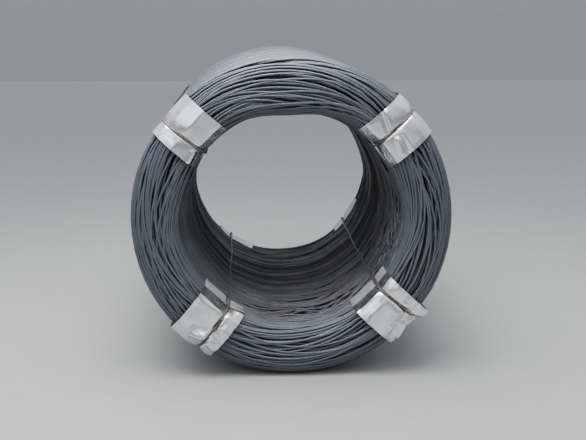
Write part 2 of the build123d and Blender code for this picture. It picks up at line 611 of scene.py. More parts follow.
@dataclass
class RodWinding:
    """The rod itself: one long run laid in loops, pressed to the coil's size and bedded under the ties.

    The loops come in bunches that lie side by side. A loop's lean is the angle round the coil to which it
    reaches out furthest, a tie holds the turns near it, and between the ties the coil slumps a little.
    """

    body: CoilBody
    loops: int = 1180
    steps: int = 64
    runs: int = 5
    rod_radius: float = 0.005
    rod_bevel: int = 1
    bunch_loops: tuple[int, int] = (1, 5)
    bunch_step: Span = (0.9, 1.7)
    middle_step: float = 0.4
    step_scatter: Span = (0.6, 1.4)
    lean_degrees: Span = (40, 170)
    lean_drift_degrees: float = 2.5
    side_change: float = 0.7
    lean_share: Span = (0.90, 1.0)
    end_lean_share: Span = (0.15, 0.75)
    end_loops: int = 90
    spread_share: Span = (0.50, 1.0)
    edge_packing: float = 1.70
    edge_packing_reach: float = 0.5
    end_packing: float = 1.40
    end_packing_reach: float = 0.40
    wobble: float = 0.004
    wobble_orders: tuple[int, ...] = (2, 3, 4, 5)
    cells: int = 76
    top_cells: tuple[int, int] = (48, 24)
    block: int = 9
    crest: int = 1
    crest_share: float = 0.6
    stiffness: int = 6
    easing: tuple[int, ...] = (1, 2, 3, 2, 1)
    side_bulge: float = 0.008
    top_sag: float = 0.003
    mouth_side_bulge: float = 0.018
    mouth_top_sag: float = 0.014
    mouth_reach: Span = (0.08, 0.40)
    tie_press: float = 0.006
    tie_press_width: float = 0.055
    bore_dent: float = 0.008
    bore_dent_width: float = 0.060
    held_reach: Span = (0.22, 0.95)
    hidden_depth: float = 0.045
    hidden_stride: int = 3
    seed: int = 7
    ties: list[float] = field(default_factory=lambda: [math.radians(a) for a in TIE_DEGREES.values()])

    @property
    def run_length(self) -> float:
        """About how long each of the runs is."""
        middle = (self.body.bore_radius + self.body.outer_radius) / 2
        return self.loops * 2 * math.pi * middle / self.runs

    def _bunches(self, rng: np.random.Generator) -> np.ndarray:
        """Chooses each loop's lean, reach and spread, in bunches of loops that lie side by side.

        Args:
            rng: The random source.

        Returns:
            One row for each loop: the angle it leans to, how far it reaches off centre, and how much wider
            or narrower than the middle of the ring it is.
        """
        half = (self.body.outer_radius - self.body.bore_radius) / 2 - self.rod_radius
        rows: list[tuple[float, float, float]] = []
        lean, side = 0.0, 1
        while len(rows) < self.loops + 2:
            lean += math.radians(rng.uniform(*self.lean_degrees))
            side = -side if rng.random() < self.side_change else side
            near_end = min(len(rows), self.loops - len(rows)) < self.end_loops
            reach = half * rng.uniform(*(self.end_lean_share if near_end else self.lean_share))
            gap = rng.uniform(*self.bunch_step) if near_end else self.middle_step
            spread = side * (half - reach) * rng.uniform(*self.spread_share)
            for _loop in range(rng.integers(*self.bunch_loops)):
                rows.append((lean, reach, spread))
                lean += math.radians(self.lean_drift_degrees) * rng.standard_normal()
                spread -= side * 2 * self.rod_radius * gap * rng.uniform(*self.step_scatter)
        return np.array(rows[: self.loops + 2])

    def _wander(self) -> tuple[np.ndarray, np.ndarray]:
        """Works out where the rod runs round and across the ring.

        Returns:
            The angle of every step, and its distance from the axis in an even, round coil.
        """
        rng = np.random.default_rng(self.seed)
        loop_of = np.arange(self.loops * self.steps) / self.steps
        knots = np.arange(self.loops + 2)
        angle = 2 * math.pi * loop_of
        lean, reach, spread = (np.interp(loop_of, knots, row) for row in self._bunches(rng).T)
        middle = (self.body.bore_radius + self.body.outer_radius) / 2
        radius = middle + spread + reach * np.cos(angle - lean)
        for order in self.wobble_orders:
            size = np.interp(loop_of, knots, self.wobble / order * rng.standard_normal(self.loops + 2))
            radius += size * np.cos(order * angle - rng.uniform(0, 2 * math.pi))
        low = self.body.bore_radius + self.rod_radius
        return angle, np.clip(radius, low, self.body.outer_radius - self.rod_radius)

    def _drop(self, radius: np.ndarray) -> np.ndarray:
        """Lets the rod come to rest on what lies below it, block by block.

        Args:
            radius: Every step's distance from the axis.

        Returns:
            Every step's height in the pile.
        """
        grid = np.linspace(self.body.bore_radius, self.body.outer_radius, self.cells)
        cell = grid[1] - grid[0]
        pile = np.zeros((self.steps, self.cells))
        count = len(radius)
        column = np.round((radius - grid[0]) / cell).astype(int)
        ring = np.arange(count) % self.steps
        heights = np.zeros(count)
        reach = self.stiffness + self.crest
        offsets = np.arange(-self.stiffness, self.stiffness + 1)
        weights = 1 + np.cos(math.pi * offsets / (self.stiffness + 1))
        weights /= weights.sum()
        thick = 2 * self.rod_radius
        span = int(math.ceil(thick / cell))
        for start in range(0, count, self.block):
            stop = min(start + self.block, count)
            ahead = np.minimum(np.arange(start, stop + reach), count - 1)
            rest = np.full(len(ahead), self.rod_radius)
            for shift in range(-span, span + 1):
                near = np.clip(column[ahead] + shift, 0, self.cells - 1)
                apart = np.abs(grid[near] - radius[ahead])
                lift = np.sqrt(np.maximum(thick**2 - apart**2, 0.0))
                under = pile[ring[ahead], near]
                touching = (apart < thick) & (under > 0)
                rest = np.maximum(rest, np.where(touching, under + lift, 0.0))
            behind = heights[max(start - reach, 0) : start]
            if len(behind) < reach:
                behind = np.concatenate([np.full(reach - len(behind), rest[0]), behind])
            line = np.concatenate([behind, rest])
            crests = np.maximum.reduce([np.roll(line, k) for k in range(-self.crest, self.crest + 1)])
            mixed = (1 - self.crest_share) * line + self.crest_share * crests
            eased = np.convolve(mixed, weights, mode="same")
            heights[start:stop] = eased[reach : reach + stop - start]
            here = np.arange(start, stop)
            for shift in (-1, 0, 1):
                near = np.clip(column[here] + shift, 0, self.cells - 1)
                pile[ring[here], near] = np.maximum(pile[ring[here], near], heights[here])
        kernel = np.array(self.easing) / sum(self.easing)
        return np.convolve(np.pad(heights, len(kernel) // 2, mode="edge"), kernel, mode="valid")

    def _pile_top(self, angle: np.ndarray, radius: np.ndarray, height: np.ndarray) -> np.ndarray:
        """The height of the pile's smoothed top at every step, so that both ends come out level.

        Args:
            angle: Every step's angle round the axis.
            radius: Every step's distance from the axis.
            height: Every step's height in the pile.

        Returns:
            The top's height over or under each step.
        """
        sectors, bands = self.top_cells
        low, high = self.body.bore_radius, self.body.outer_radius
        sector = (angle / (2 * math.pi) * sectors).astype(int) % sectors
        band = np.clip(((radius - low) / (high - low) * bands).astype(int), 0, bands - 1)
        top = np.zeros((sectors, bands))
        np.maximum.at(top, (sector, band), height)
        top = (np.roll(top, 1, 0) + 2 * top + np.roll(top, -1, 0)) / 4
        padded = np.pad(top, ((0, 0), (1, 1)), mode="edge")
        top = (padded[:, :-2] + 2 * padded[:, 1:-1] + padded[:, 2:]) / 4
        x = angle / (2 * math.pi) * sectors - 0.5
        y = np.clip((radius - low) / (high - low) * bands - 0.5, 0, bands - 1.001)
        xi, yi = np.floor(x).astype(int), y.astype(int)
        fx, fy = x - xi, y - yi
        a, b = xi % sectors, (xi + 1) % sectors
        return (top[a, yi] * (1 - fx) + top[b, yi] * fx) * (1 - fy) + (
            top[a, yi + 1] * (1 - fx) + top[b, yi + 1] * fx
        ) * fy

    def _near_ties(self, angle: np.ndarray, width: float) -> np.ndarray:
        """How near each angle is to a tie.

        Args:
            angle: Angles round the axis.
            width: The distance from a tie at which the nearness has mostly gone.

        Returns:
            The nearness, from 0 far off to 1 under a tie.
        """
        middle = (self.body.bore_radius + self.body.outer_radius) / 2
        near = np.zeros_like(angle)
        for tie in self.ties:
            near = np.maximum(near, np.exp(-((angle_apart(angle, tie) * middle / width) ** 2)))
        return near

    def _held(self, angle: np.ndarray) -> np.ndarray:
        """How firmly a tie and its sleeves hold the turns in place, from 1 under them to 0 between them."""
        apart = np.min([np.abs(angle_apart(angle, tie)) for tie in self.ties], axis=0)
        return 1 - smooth_step(*self.held_reach, apart)

    @staticmethod
    def _packed(share: np.ndarray, reach: float, power: float) -> np.ndarray:
        """Moves what lies near either surface closer to it, as the press packs the turns there.

        Args:
            share: Places from one surface, 0, to the other, 1.
            reach: How far in from each surface the packing is felt.
            power: How strong it is, from 1 for none.

        Returns:
            The new places.
        """
        share = np.clip(share, 0.0, 1.0)
        depth = np.minimum(share, 1 - share)
        packed = np.where(depth < reach, reach * (depth / reach) ** power, depth)
        return np.where(share < 0.5, packed, 1 - packed)

    def centre_line(self) -> np.ndarray:
        """The rod's centre line, pressed to the coil's outside, bore and rounded ends.

        Returns:
            An array of points, one row for each step.
        """
        body, rod = self.body, self.rod_radius
        angle, radius = self._wander()
        height = self._drop(radius)
        top = self._pile_top(angle, radius, height)
        across = (radius - body.bore_radius - rod) / (body.outer_radius - body.bore_radius - 2 * rod)
        across = self._packed(across, self.edge_packing_reach, self.edge_packing)
        end_reach = self.end_packing_reach / (2 * body.half_length)
        along = 1 - 2 * self._packed((height - rod) / (top - rod), end_reach, self.end_packing)
        press = self.tie_press * self._near_ties(angle, self.tie_press_width)
        end_radius = body.mouth_radius + rod + across * (body.outer_radius - body.mouth_radius - 2 * rod)
        y = along * (body.half_length - body.end_drop(end_radius) - rod - press)
        from_end = body.half_length - np.abs(y)
        flare = 1 - smooth_step(body.mouth_depth, body.mouth_depth + body.mouth_taper, from_end)
        held = self._held(angle)
        mouth = 1 - smooth_step(*self.mouth_reach, from_end)
        bulge = self.side_bulge + mouth * (self.mouth_side_bulge - self.side_bulge)
        sag = self.top_sag + mouth * (self.mouth_top_sag - self.top_sag)
        slump = (bulge * np.cos(2 * angle) - sag * np.sin(angle)) * (1 - held)
        inner = body.bore_radius + flare * (body.mouth_radius - body.bore_radius) + slump
        inner += self.bore_dent * self._near_ties(angle, self.bore_dent_width) * (1 - flare) + rod
        outer = body.outer_radius - press - rod
        return body.to_space(angle, inner + across * (outer - inner), y)

    def _seen_steps(self, line: np.ndarray) -> np.ndarray:
        """Picks the steps to draw: all of them near a surface, and a few of those deep inside.

        Args:
            line: The rod's centre line.

        Returns:
            The numbers of the steps to draw.
        """
        body = self.body
        radius = np.hypot(line[:, 0], line[:, 2] - body.outer_radius)
        from_end = body.half_length - np.abs(line[:, 1])
        from_wall = np.minimum(body.outer_radius - radius, radius - body.mouth_radius)
        deep = np.minimum(from_end, from_wall) > self.hidden_depth
        number = np.arange(len(line))
        return number[~deep | (number % self.hidden_stride == 0)]

    def _draw(self, line: np.ndarray) -> bpy.types.Object:
        """Draws a stretch of the rod as a round path and makes it a mesh.

        Args:
            line: The stretch's centre line.

        Returns:
            The object.
        """
        deselect_all()
        bpy.ops.curve.primitive_nurbs_path_add(location=(0, 0, 0))
        piece = bpy.context.object
        bpy.ops.object.mode_set(mode="EDIT")
        bpy.ops.curve.spline_type_set(type="POLY")
        bpy.ops.object.mode_set(mode="OBJECT")
        path = piece.data.splines[0]
        path.points.add(len(line) - len(path.points))
        path.points.foreach_set("co", np.column_stack([line, np.ones(len(line))]).ravel())
        piece.data.twist_mode = "MINIMUM"
        piece.data.bevel_depth = self.rod_radius
        piece.data.bevel_resolution = self.rod_bevel
        piece.data.use_fill_caps = True
        bpy.ops.object.convert(target="MESH")
        bpy.ops.object.shade_smooth()
        return bpy.context.object

    def build(self, material: bpy.types.Material) -> list[bpy.types.Object]:
        """Builds the rod in a few runs, end to end, and dresses them.

        Args:
            material: The rod's finish.

        Returns:
            The runs.
        """
        line = self.centre_line()
        line = line[self._seen_steps(line)]
        cuts = np.linspace(0, len(line) - 1, self.runs + 1).astype(int)
        pieces = []
        for number, (start, stop) in enumerate(zip(cuts[:-1], cuts[1:]), 1):
            piece = self._draw(line[start : stop + 1])
            finish_piece(piece, f"rod_run_{number}", material, "wire_rod_coil")
            pieces.append(piece)
        return pieces


@dataclass(frozen=True)
class Crumple:
    """A spot where a sleeve is crushed, with sharp folds that run out from it.

    The place is given along and across the sheet, each from 0 to 1, from the bore flap to the outer flap.
    """

    along: float
    across: float
    size: float
    height: float
    folds: int = 7


@dataclass(frozen=True)
class Crease:
    """A fold in a sleeve that runs straight from one place to another, as a ridge or, downward, a groove.

    Each place is given along and across the sheet, as a crumple's is. The sheet falls off over the width,
    and more slowly on one side when the fold leans.
    """

    start: Span
    stop: Span
    height: float
    width: float = 0.022
    lean: float = 0.0


@dataclass(frozen=True)
class Bulge:
    """A smooth swelling or lifted corner of a sleeve, placed as a crumple is."""

    along: float
    across: float
    size: float
    height: float


@dataclass(frozen=True)
class SheetFeel:
    """How the sheet takes its bends, buckles and creases, the same for all sleeves.

    Cells say how many cells of noise lie along and across the sheet. A span says where something begins
    and where it is full, as a share of what it runs along, and a range is what the folds of a crushed spot
    are drawn from.
    """

    bend_radius: float = 0.008
    arc_degrees: int = 6
    smooth_degrees: float = 50.0
    buckle: float = 0.0006
    broad_cells: tuple[int, int] = (11, 3)
    fine_cells: tuple[int, int] = (26, 6)
    fine_share: float = 0.5
    ridge_cells: tuple[int, int] = (17, 5)
    ridge_share: float = 0.9
    ridge_reach: float = 0.045
    edge_cells: tuple[int, int] = (6, 1)
    edge_span: Span = (0.80, 1.0)
    edge_wave: float = 0.0035
    lift_span: Span = (0.20, 0.34)
    landing_span: Span = (0.66, 0.84)
    deepest_groove: float = -0.001
    fold_start_span: Span = (-0.12, 0.10)
    fold_stop_span: Span = (0.90, 1.12)
    crush_turn_range: Span = (-0.3, 0.3)
    crush_reach_range: Span = (0.6, 1.4)
    crush_height_range: Span = (0.5, 1.0)
    crush_rise: float = 0.006
    crush_width: float = 0.009
    tie_bed: float = 0.005
    pull_share: float = 0.6
    pull_width: float = 0.030
    sharp_pull_width: float = 0.009
    calm_share: float = 0.85
    calm_width: float = 0.007
    outside_bow: float = 0.6
    bore_bow: float = 0.5


@dataclass
class Sleeve:
    """One sheet sleeve, bent over an end of the coil in flat facets and creased by its tie.

    The facets are the headings of its flat faces, in degrees: 0 faces the coil's axis, 90 away from the
    coil's middle and 180 away from the axis. It stands off the end between the two bends.
    """

    body: CoilBody
    place: Place
    end: CoilEnd
    facets: tuple[float, ...]
    bore_flap: float = 0.165
    outer_flap: float = 0.230
    flat_length: float = 0.546
    rows: int = 84
    columns: int = 31
    stand_off: float = 0.002
    creases: tuple[Crease, ...] = ()
    crumples: tuple[Crumple, ...] = ()
    bulges: tuple[Bulge, ...] = ()
    feel: SheetFeel = SheetFeel()
    seed: int = 1

    @property
    def node(self) -> str:
        """The node of the frame that this sleeve stands for."""
        return f"{self.end.name.lower()}_sleeve_{self.place.value}"

    @property
    def shift_degrees(self) -> float:
        """How far the sleeve's middle is turned round the coil from its tie."""
        return SLEEVE_SHIFT_DEGREES[self.place] * -self.end.value

    @property
    def angle(self) -> float:
        """The angle of the sleeve's middle round the coil, in radians."""
        return math.radians(TIE_DEGREES[self.place] + self.shift_degrees)

    def _corners(self) -> tuple[np.ndarray, np.ndarray, float, float]:
        """The profile's two round corners, in the sleeve's own flat section.

        Returns:
            The centres of the corners at the bore and outside, and their radii.
        """
        body = self.body
        wall = body.flap_radius + body.seat_gap
        inner = np.array([wall + body.mouth_rounding, body.half_length - body.mouth_rounding])
        outer = np.array([body.outer_radius - body.rim_rounding, body.half_length - body.rim_rounding])
        return inner, outer, body.mouth_rounding, body.rim_rounding

    def _even(self, points: np.ndarray, count: int, ease: float) -> np.ndarray:
        """Spaces a line's points evenly and rounds its corners a little.

        Args:
            points: The line's corners.
            count: How many points to give back.
            ease: The length over which a corner is rounded.

        Returns:
            The even points.
        """
        steps = np.linalg.norm(np.diff(points, axis=0), axis=1)
        length = np.concatenate([[0.0], np.cumsum(steps)])
        fine = np.linspace(0, length[-1], 4 * count)
        line = np.stack([np.interp(fine, length, points[:, k]) for k in (0, 1)], axis=-1)
        half = max(1, int(ease / (fine[1] - fine[0])))
        weights = 1 + np.cos(math.pi * np.arange(-half, half + 1) / (half + 1))
        weights /= weights.sum()
        before = line[0] + (line[0] - line[1]) * np.arange(half, 0, -1)[:, None]
        behind = line[-1] + (line[-1] - line[-2]) * np.arange(1, half + 1)[:, None]
        padded = np.concatenate([before, line, behind])
        line = np.stack([np.convolve(padded[:, k], weights, mode="valid") for k in (0, 1)], axis=-1)
        pick = np.linspace(0, len(line) - 1, count)
        whole = np.arange(len(line))
        return np.stack([np.interp(pick, whole, line[:, k]) for k in (0, 1)], axis=-1)

    def _facet_line(self, lift: float) -> np.ndarray:
        """The profile as flat facets that touch the round corners.

        Args:
            lift: How far it stands off them.

        Returns:
            Its points, from the bore flap to the outer flap.
        """
        inner, outer, inner_round, outer_round = self._corners()
        lines = []
        for heading in (0.0, *self.facets, 180.0):
            out = np.array([-math.cos(math.radians(heading)), math.sin(math.radians(heading))])
            reach = max(out @ inner + inner_round, out @ outer + outer_round) + lift
            lines.append((out, reach))
        bends = []
        for (first, a), (second, b) in zip(lines[:-1], lines[1:]):
            bends.append(np.linalg.solve(np.array([first, second]), np.array([a, b])))
        half = self.body.half_length
        start = np.array([bends[0][0], half - self.bore_flap])
        stop = np.array([bends[-1][0], half - self.outer_flap])
        return self._even(np.array([start, *bends, stop]), self.rows, self.feel.bend_radius)

    def _pressed_line(self, lift: float) -> np.ndarray:
        """The profile under the tie, where the sheet is pulled tight round the corners.

        Args:
            lift: How far it stands off them.

        Returns:
            Its points, from the bore flap to the outer flap.
        """
        inner, outer, inner_round, outer_round = self._corners()
        half, step = self.body.half_length, self.feel.arc_degrees
        points = [[inner[0] - inner_round - lift, half - self.bore_flap]]
        for centre, radius, first in ((inner, inner_round, 0), (outer, outer_round, 90)):
            for degrees in range(first, first + 91, step):
                turn = math.radians(degrees)
                points.append(centre + (radius + lift) * np.array([-math.cos(turn), math.sin(turn)]))
        points.append([outer[0] + outer_round + lift, half - self.outer_flap])
        return self._even(np.array(points), self.rows, self.feel.bend_radius)

    def _buckles(self, across: np.ndarray, apart: np.ndarray, rng: np.random.Generator) -> np.ndarray:
        """Soft buckles all over the sheet, sharper ones beside the tie, and waves along its free edges.

        Args:
            across: Each column's place across the sheet.
            apart: Each point's distance from the tie.
            rng: The random source.

        Returns:
            A rows by columns array of lifts.
        """
        feel, grid = self.feel, (self.rows, self.columns)
        relief = feel.buckle * even_noise(*grid, *feel.broad_cells, rng)
        relief += feel.fine_share * feel.buckle * even_noise(*grid, *feel.fine_cells, rng)
        ridges = 1 - 2 * np.abs(even_noise(*grid, *feel.ridge_cells, rng))
        relief += feel.ridge_share * feel.buckle * ridges * np.exp(-((apart / feel.ridge_reach) ** 2))
        edge = smooth_step(*feel.edge_span, np.abs(across) / (self.body.sleeve_width / 2))
        return relief + feel.edge_wave * edge * even_noise(*grid, *feel.edge_cells, rng)

    def _metres(self, along: float, across: float) -> tuple[float, float]:
        """A place on the sheet in metres: its distances from the bore flap and from the sheet's middle."""
        return along * self.flat_length, (across - 0.5) * self.body.sleeve_width

    def _fold(self, fold: Crease, along: np.ndarray, across: np.ndarray) -> np.ndarray:
        """How far one crease lifts the sheet.

        Args:
            fold: The crease.
            along: Each row's distance from the bore flap.
            across: Each column's distance from the sheet's middle.

        Returns:
            A rows by columns array of lifts, down where the crease is a groove.
        """
        start = np.array(self._metres(*fold.start))
        stop = np.array(self._metres(*fold.stop))
        reach = np.linalg.norm(stop - start)
        heading = (stop - start) / reach
        x, y = along - start[0], across - start[1]
        run = (x * heading[0] + y * heading[1]) / reach
        aside = -x * heading[1] + y * heading[0]
        spread = fold.width * (1 + fold.lean * np.sign(aside))
        begun = smooth_step(*self.feel.fold_start_span, run)
        ended = smooth_step(*self.feel.fold_stop_span, run)
        return fold.height * (begun * (1 - ended)) * np.clip(1 - np.abs(aside) / spread, 0, 1)

    def _crush(
        self, spot: Crumple, along: np.ndarray, across: np.ndarray, rng: np.random.Generator
    ) -> np.ndarray:
        """How far one crushed spot lifts the sheet.

        Args:
            spot: The crushed spot.
            along: Each row's distance from the bore flap.
            across: Each column's distance from the sheet's middle.
            rng: The random source.

        Returns:
            A rows by columns array of lifts.
        """
        feel = self.feel
        x0, y0 = self._metres(spot.along, spot.across)
        x, y = along - x0, across - y0
        scatter = rng.uniform(*feel.crush_turn_range, spot.folds)
        turns = (np.arange(spot.folds) + scatter) / spot.folds * 2 * math.pi
        relief = np.zeros((self.rows, self.columns))
        for turn in turns:
            reach = spot.size * rng.uniform(*feel.crush_reach_range)
            out = x * math.cos(turn) + y * math.sin(turn)
            aside = np.abs(-x * math.sin(turn) + y * math.cos(turn))
            rise = smooth_step(-feel.crush_rise, feel.crush_rise, out)
            taper = np.clip(1 - out / reach, 0, 1) * rise
            height = spot.height * rng.uniform(*feel.crush_height_range)
            relief += height * taper * np.exp(-aside / feel.crush_width)
        return relief

    def _relief(self, across: np.ndarray, tie_at: np.ndarray, rng: np.random.Generator) -> np.ndarray:
        """How far the sheet stands off its plain shape, with its buckles, creases and crushed spots.

        Args:
            across: Each column's place across the sheet.
            tie_at: Each row's place of the tie across the sheet.
            rng: The random source.

        Returns:
            A rows by columns array of lifts.
        """
        feel = self.feel
        share = np.linspace(0, 1, self.rows)[:, None]
        along, across = share * self.flat_length, across[None, :]
        relief = self._buckles(across, across - tie_at[:, None], rng)
        landed = smooth_step(*feel.landing_span, share)
        relief += self.stand_off * smooth_step(*feel.lift_span, share) * (1 - landed)
        for fold in self.creases:
            relief += self._fold(fold, along, across)
        for spot in self.crumples:
            relief += self._crush(spot, along, across, rng)
        for swell in self.bulges:
            x0, y0 = self._metres(swell.along, swell.across)
            apart = (along - x0) ** 2 + (across - y0) ** 2
            relief += swell.height * np.exp(-apart / swell.size**2)
        return np.maximum(relief, feel.deepest_groove)

    def _points(self) -> np.ndarray:
        """Lays out the bent and creased sheet.

        Returns:
            Its points, in rows from the bore flap to the outer flap.
        """
        body, feel = self.body, self.feel
        rng = np.random.default_rng(self.seed)
        middle = body.seat_gap + body.sheet / 2
        loose = self._facet_line(middle)
        tight = self._pressed_line(middle - feel.tie_bed)
        half_width = body.sleeve_width / 2
        across = np.linspace(-half_width, half_width, self.columns)
        tie_at = -math.tan(math.radians(self.shift_degrees)) * tight[:, 0]
        apart = np.abs(across[None, :] - tie_at[:, None])
        pull = feel.pull_share * np.exp(-((apart / feel.pull_width) ** 2))
        pull += (1 - feel.pull_share) * np.exp(-apart / feel.sharp_pull_width)
        profile = loose[:, None, :] * (1 - pull[..., None]) + tight[:, None, :] * pull[..., None]
        ahead = np.gradient(profile, axis=0)
        ahead /= np.linalg.norm(ahead, axis=2, keepdims=True)
        off = np.stack([-ahead[..., 1], ahead[..., 0]], axis=-1)
        calm = 1 - feel.calm_share * np.exp(-((apart / feel.calm_width) ** 2))
        in_bore = smooth_step(0.0, 1.0, -off[..., 0])
        outside = smooth_step(0.0, 1.0, off[..., 0])
        bow = -feel.outside_bow * outside * across[None, :] ** 2 / (2 * body.outer_radius)
        bow -= feel.bore_bow * in_bore * (half_width**2 - across[None, :] ** 2) / (2 * body.mouth_radius)
        lift = self._relief(across, tie_at, rng) * calm + bow
        profile = profile + off * lift[..., None]
        outward = np.array([math.cos(self.angle), 0.0, math.sin(self.angle)])
        sideways = np.array([-math.sin(self.angle), 0.0, math.cos(self.angle)])
        points = profile[..., 0, None] * outward + across[None, :, None] * sideways
        points[..., 1] += self.end.value * profile[..., 1]
        points[..., 2] += body.outer_radius
        return points

    def build(self, material: bpy.types.Material) -> bpy.types.Object:
        """Builds the sheet from a flat grid, bends it to its shape and gives it its thickness.

        Args:
            material: The sheet's finish.

        Returns:
            The sleeve.
        """
        deselect_all()
        bpy.ops.mesh.primitive_grid_add(
            x_subdivisions=self.columns - 1, y_subdivisions=self.rows - 1, size=2, location=(0, 0, 0)
        )
        piece = bpy.context.object
        flat = np.zeros(len(piece.data.vertices) * 3)
        piece.data.vertices.foreach_get("co", flat)
        flat = flat.reshape(-1, 3)
        column = np.round((flat[:, 0] + 1) / 2 * (self.columns - 1)).astype(int)
        row = np.round((flat[:, 1] + 1) / 2 * (self.rows - 1)).astype(int)
        piece.data.vertices.foreach_set("co", self._points()[row, column].ravel())
        piece.data.update()
        thick = piece.modifiers.new("thickness", "SOLIDIFY")
        thick.thickness = self.body.sheet
        thick.offset = 0.0
        apply_modifiers(piece)
        bpy.ops.object.mode_set(mode="EDIT")
        bpy.ops.mesh.select_all(action="SELECT")
        bpy.ops.mesh.normals_make_consistent(inside=False)
        bpy.ops.object.mode_set(mode="OBJECT")
        bpy.ops.object.shade_smooth_by_angle(angle=math.radians(self.feel.smooth_degrees))
        finish_piece(piece, f"sheet_{self.node}", material, self.node)
        return piece


def make_sleeves(body: CoilBody) -> list[Sleeve]:
    """Lists the eight sleeves, each bent and crushed in its own way.

    Args:
        body: The coil's main sizes.

    Returns:
        The sleeves.
    """
    front, rear = CoilEnd.FRONT, CoilEnd.REAR
    right_high, left_high, left_low, right_low = Place
    fine = {"rows": 126, "columns": 51}
    return [
        Sleeve(
            body,
            left_high,
            front,
            (42.0, 78.0, 110.0, 144.0),
            creases=(Crease(start=(0.33, 0.74), stop=(0.30, 1.00), height=0.006, width=0.020),),
            seed=11,
            **fine,
        ),
        Sleeve(
            body,
            right_high,
            front,
            (48.0, 79.0, 108.0, 142.0),
            stand_off=0.006,
            creases=(
                Crease(start=(0.485, 0.98), stop=(0.420, 0.56), height=0.008, width=0.016),
                Crease(start=(0.450, 1.00), stop=(0.395, 0.58), height=-0.008, width=0.014),
                Crease(start=(0.420, 0.40), stop=(0.375, 0.06), height=0.008, width=0.016),
                Crease(start=(0.455, 0.38), stop=(0.420, 0.04), height=-0.008, width=0.014),
            ),
            seed=12,
            **fine,
        ),
        Sleeve(
            body,
            left_low,
            front,
            (45.0, 86.0, 128.0),
            stand_off=0.013,
            creases=(
                Crease(start=(0.480, 0.64), stop=(0.525, 0.30), height=-0.014, width=0.018),
                Crease(start=(0.525, 0.66), stop=(0.580, 0.34), height=0.013, width=0.018),
                Crease(start=(0.490, 0.72), stop=(0.520, 0.97), height=-0.013, width=0.016),
                Crease(start=(0.545, 0.74), stop=(0.570, 0.98), height=0.009, width=0.016),
                Crease(start=(0.345, 0.76), stop=(0.365, 1.02), height=-0.012, width=0.016),
                Crease(start=(0.400, 0.80), stop=(0.425, 1.02), height=0.008, width=0.020),
                Crease(start=(0.470, 0.60), stop=(0.395, 0.46), height=-0.008, width=0.014),
            ),
            bulges=(Bulge(along=0.20, across=0.95, size=0.040, height=0.010),),
            seed=13,
            **fine,
        ),
        Sleeve(
            body,
            right_low,
            front,
            (34.0, 66.0, 94.0, 124.0),
            stand_off=0.010,
            creases=(
                Crease(start=(0.540, 0.62), stop=(0.585, 0.12), height=-0.012, width=0.020, lean=0.2),
                Crease(start=(0.575, 0.62), stop=(0.635, 0.16), height=0.016, width=0.022),
                Crease(start=(0.615, 0.64), stop=(0.690, 0.24), height=-0.012, width=0.022),
                Crease(start=(0.600, 0.80), stop=(0.560, 1.00), height=-0.008, width=0.018),
                Crease(start=(0.560, 0.56), stop=(0.520, 0.30), height=-0.009, width=0.014),
                Crease(start=(0.585, 0.76), stop=(0.500, 0.92), height=-0.008, width=0.014),
            ),
            bulges=(
                Bulge(along=0.494, across=0.77, size=0.022, height=0.006),
                Bulge(along=0.505, across=0.58, size=0.022, height=0.006),
                Bulge(along=0.655, across=0.86, size=0.034, height=0.024),
                Bulge(along=0.74, across=0.10, size=0.035, height=0.014),
            ),
            seed=14,
            **fine,
        ),
        Sleeve(
            body,
            left_high,
            rear,
            (44.0, 86.0, 120.0),
            crumples=(Crumple(along=0.40, across=0.45, size=0.05, height=0.006, folds=5),),
            seed=15,
        ),
        Sleeve(
            body,
            right_high,
            rear,
            (52.0, 94.0, 130.0),
            bulges=(Bulge(along=0.55, across=0.15, size=0.05, height=0.006),),
            seed=16,
        ),
        Sleeve(
            body,
            left_low,
            rear,
            (48.0, 90.0, 126.0),
            crumples=(Crumple(along=0.58, across=0.55, size=0.06, height=0.009, folds=6),),
            seed=17,
        ),
        Sleeve(
            body,
            right_low,
            rear,
            (45.0, 88.0, 122.0),
            crumples=(Crumple(along=0.45, across=0.40, size=0.06, height=0.007, folds=6),),
            seed=18,
        ),
    ]


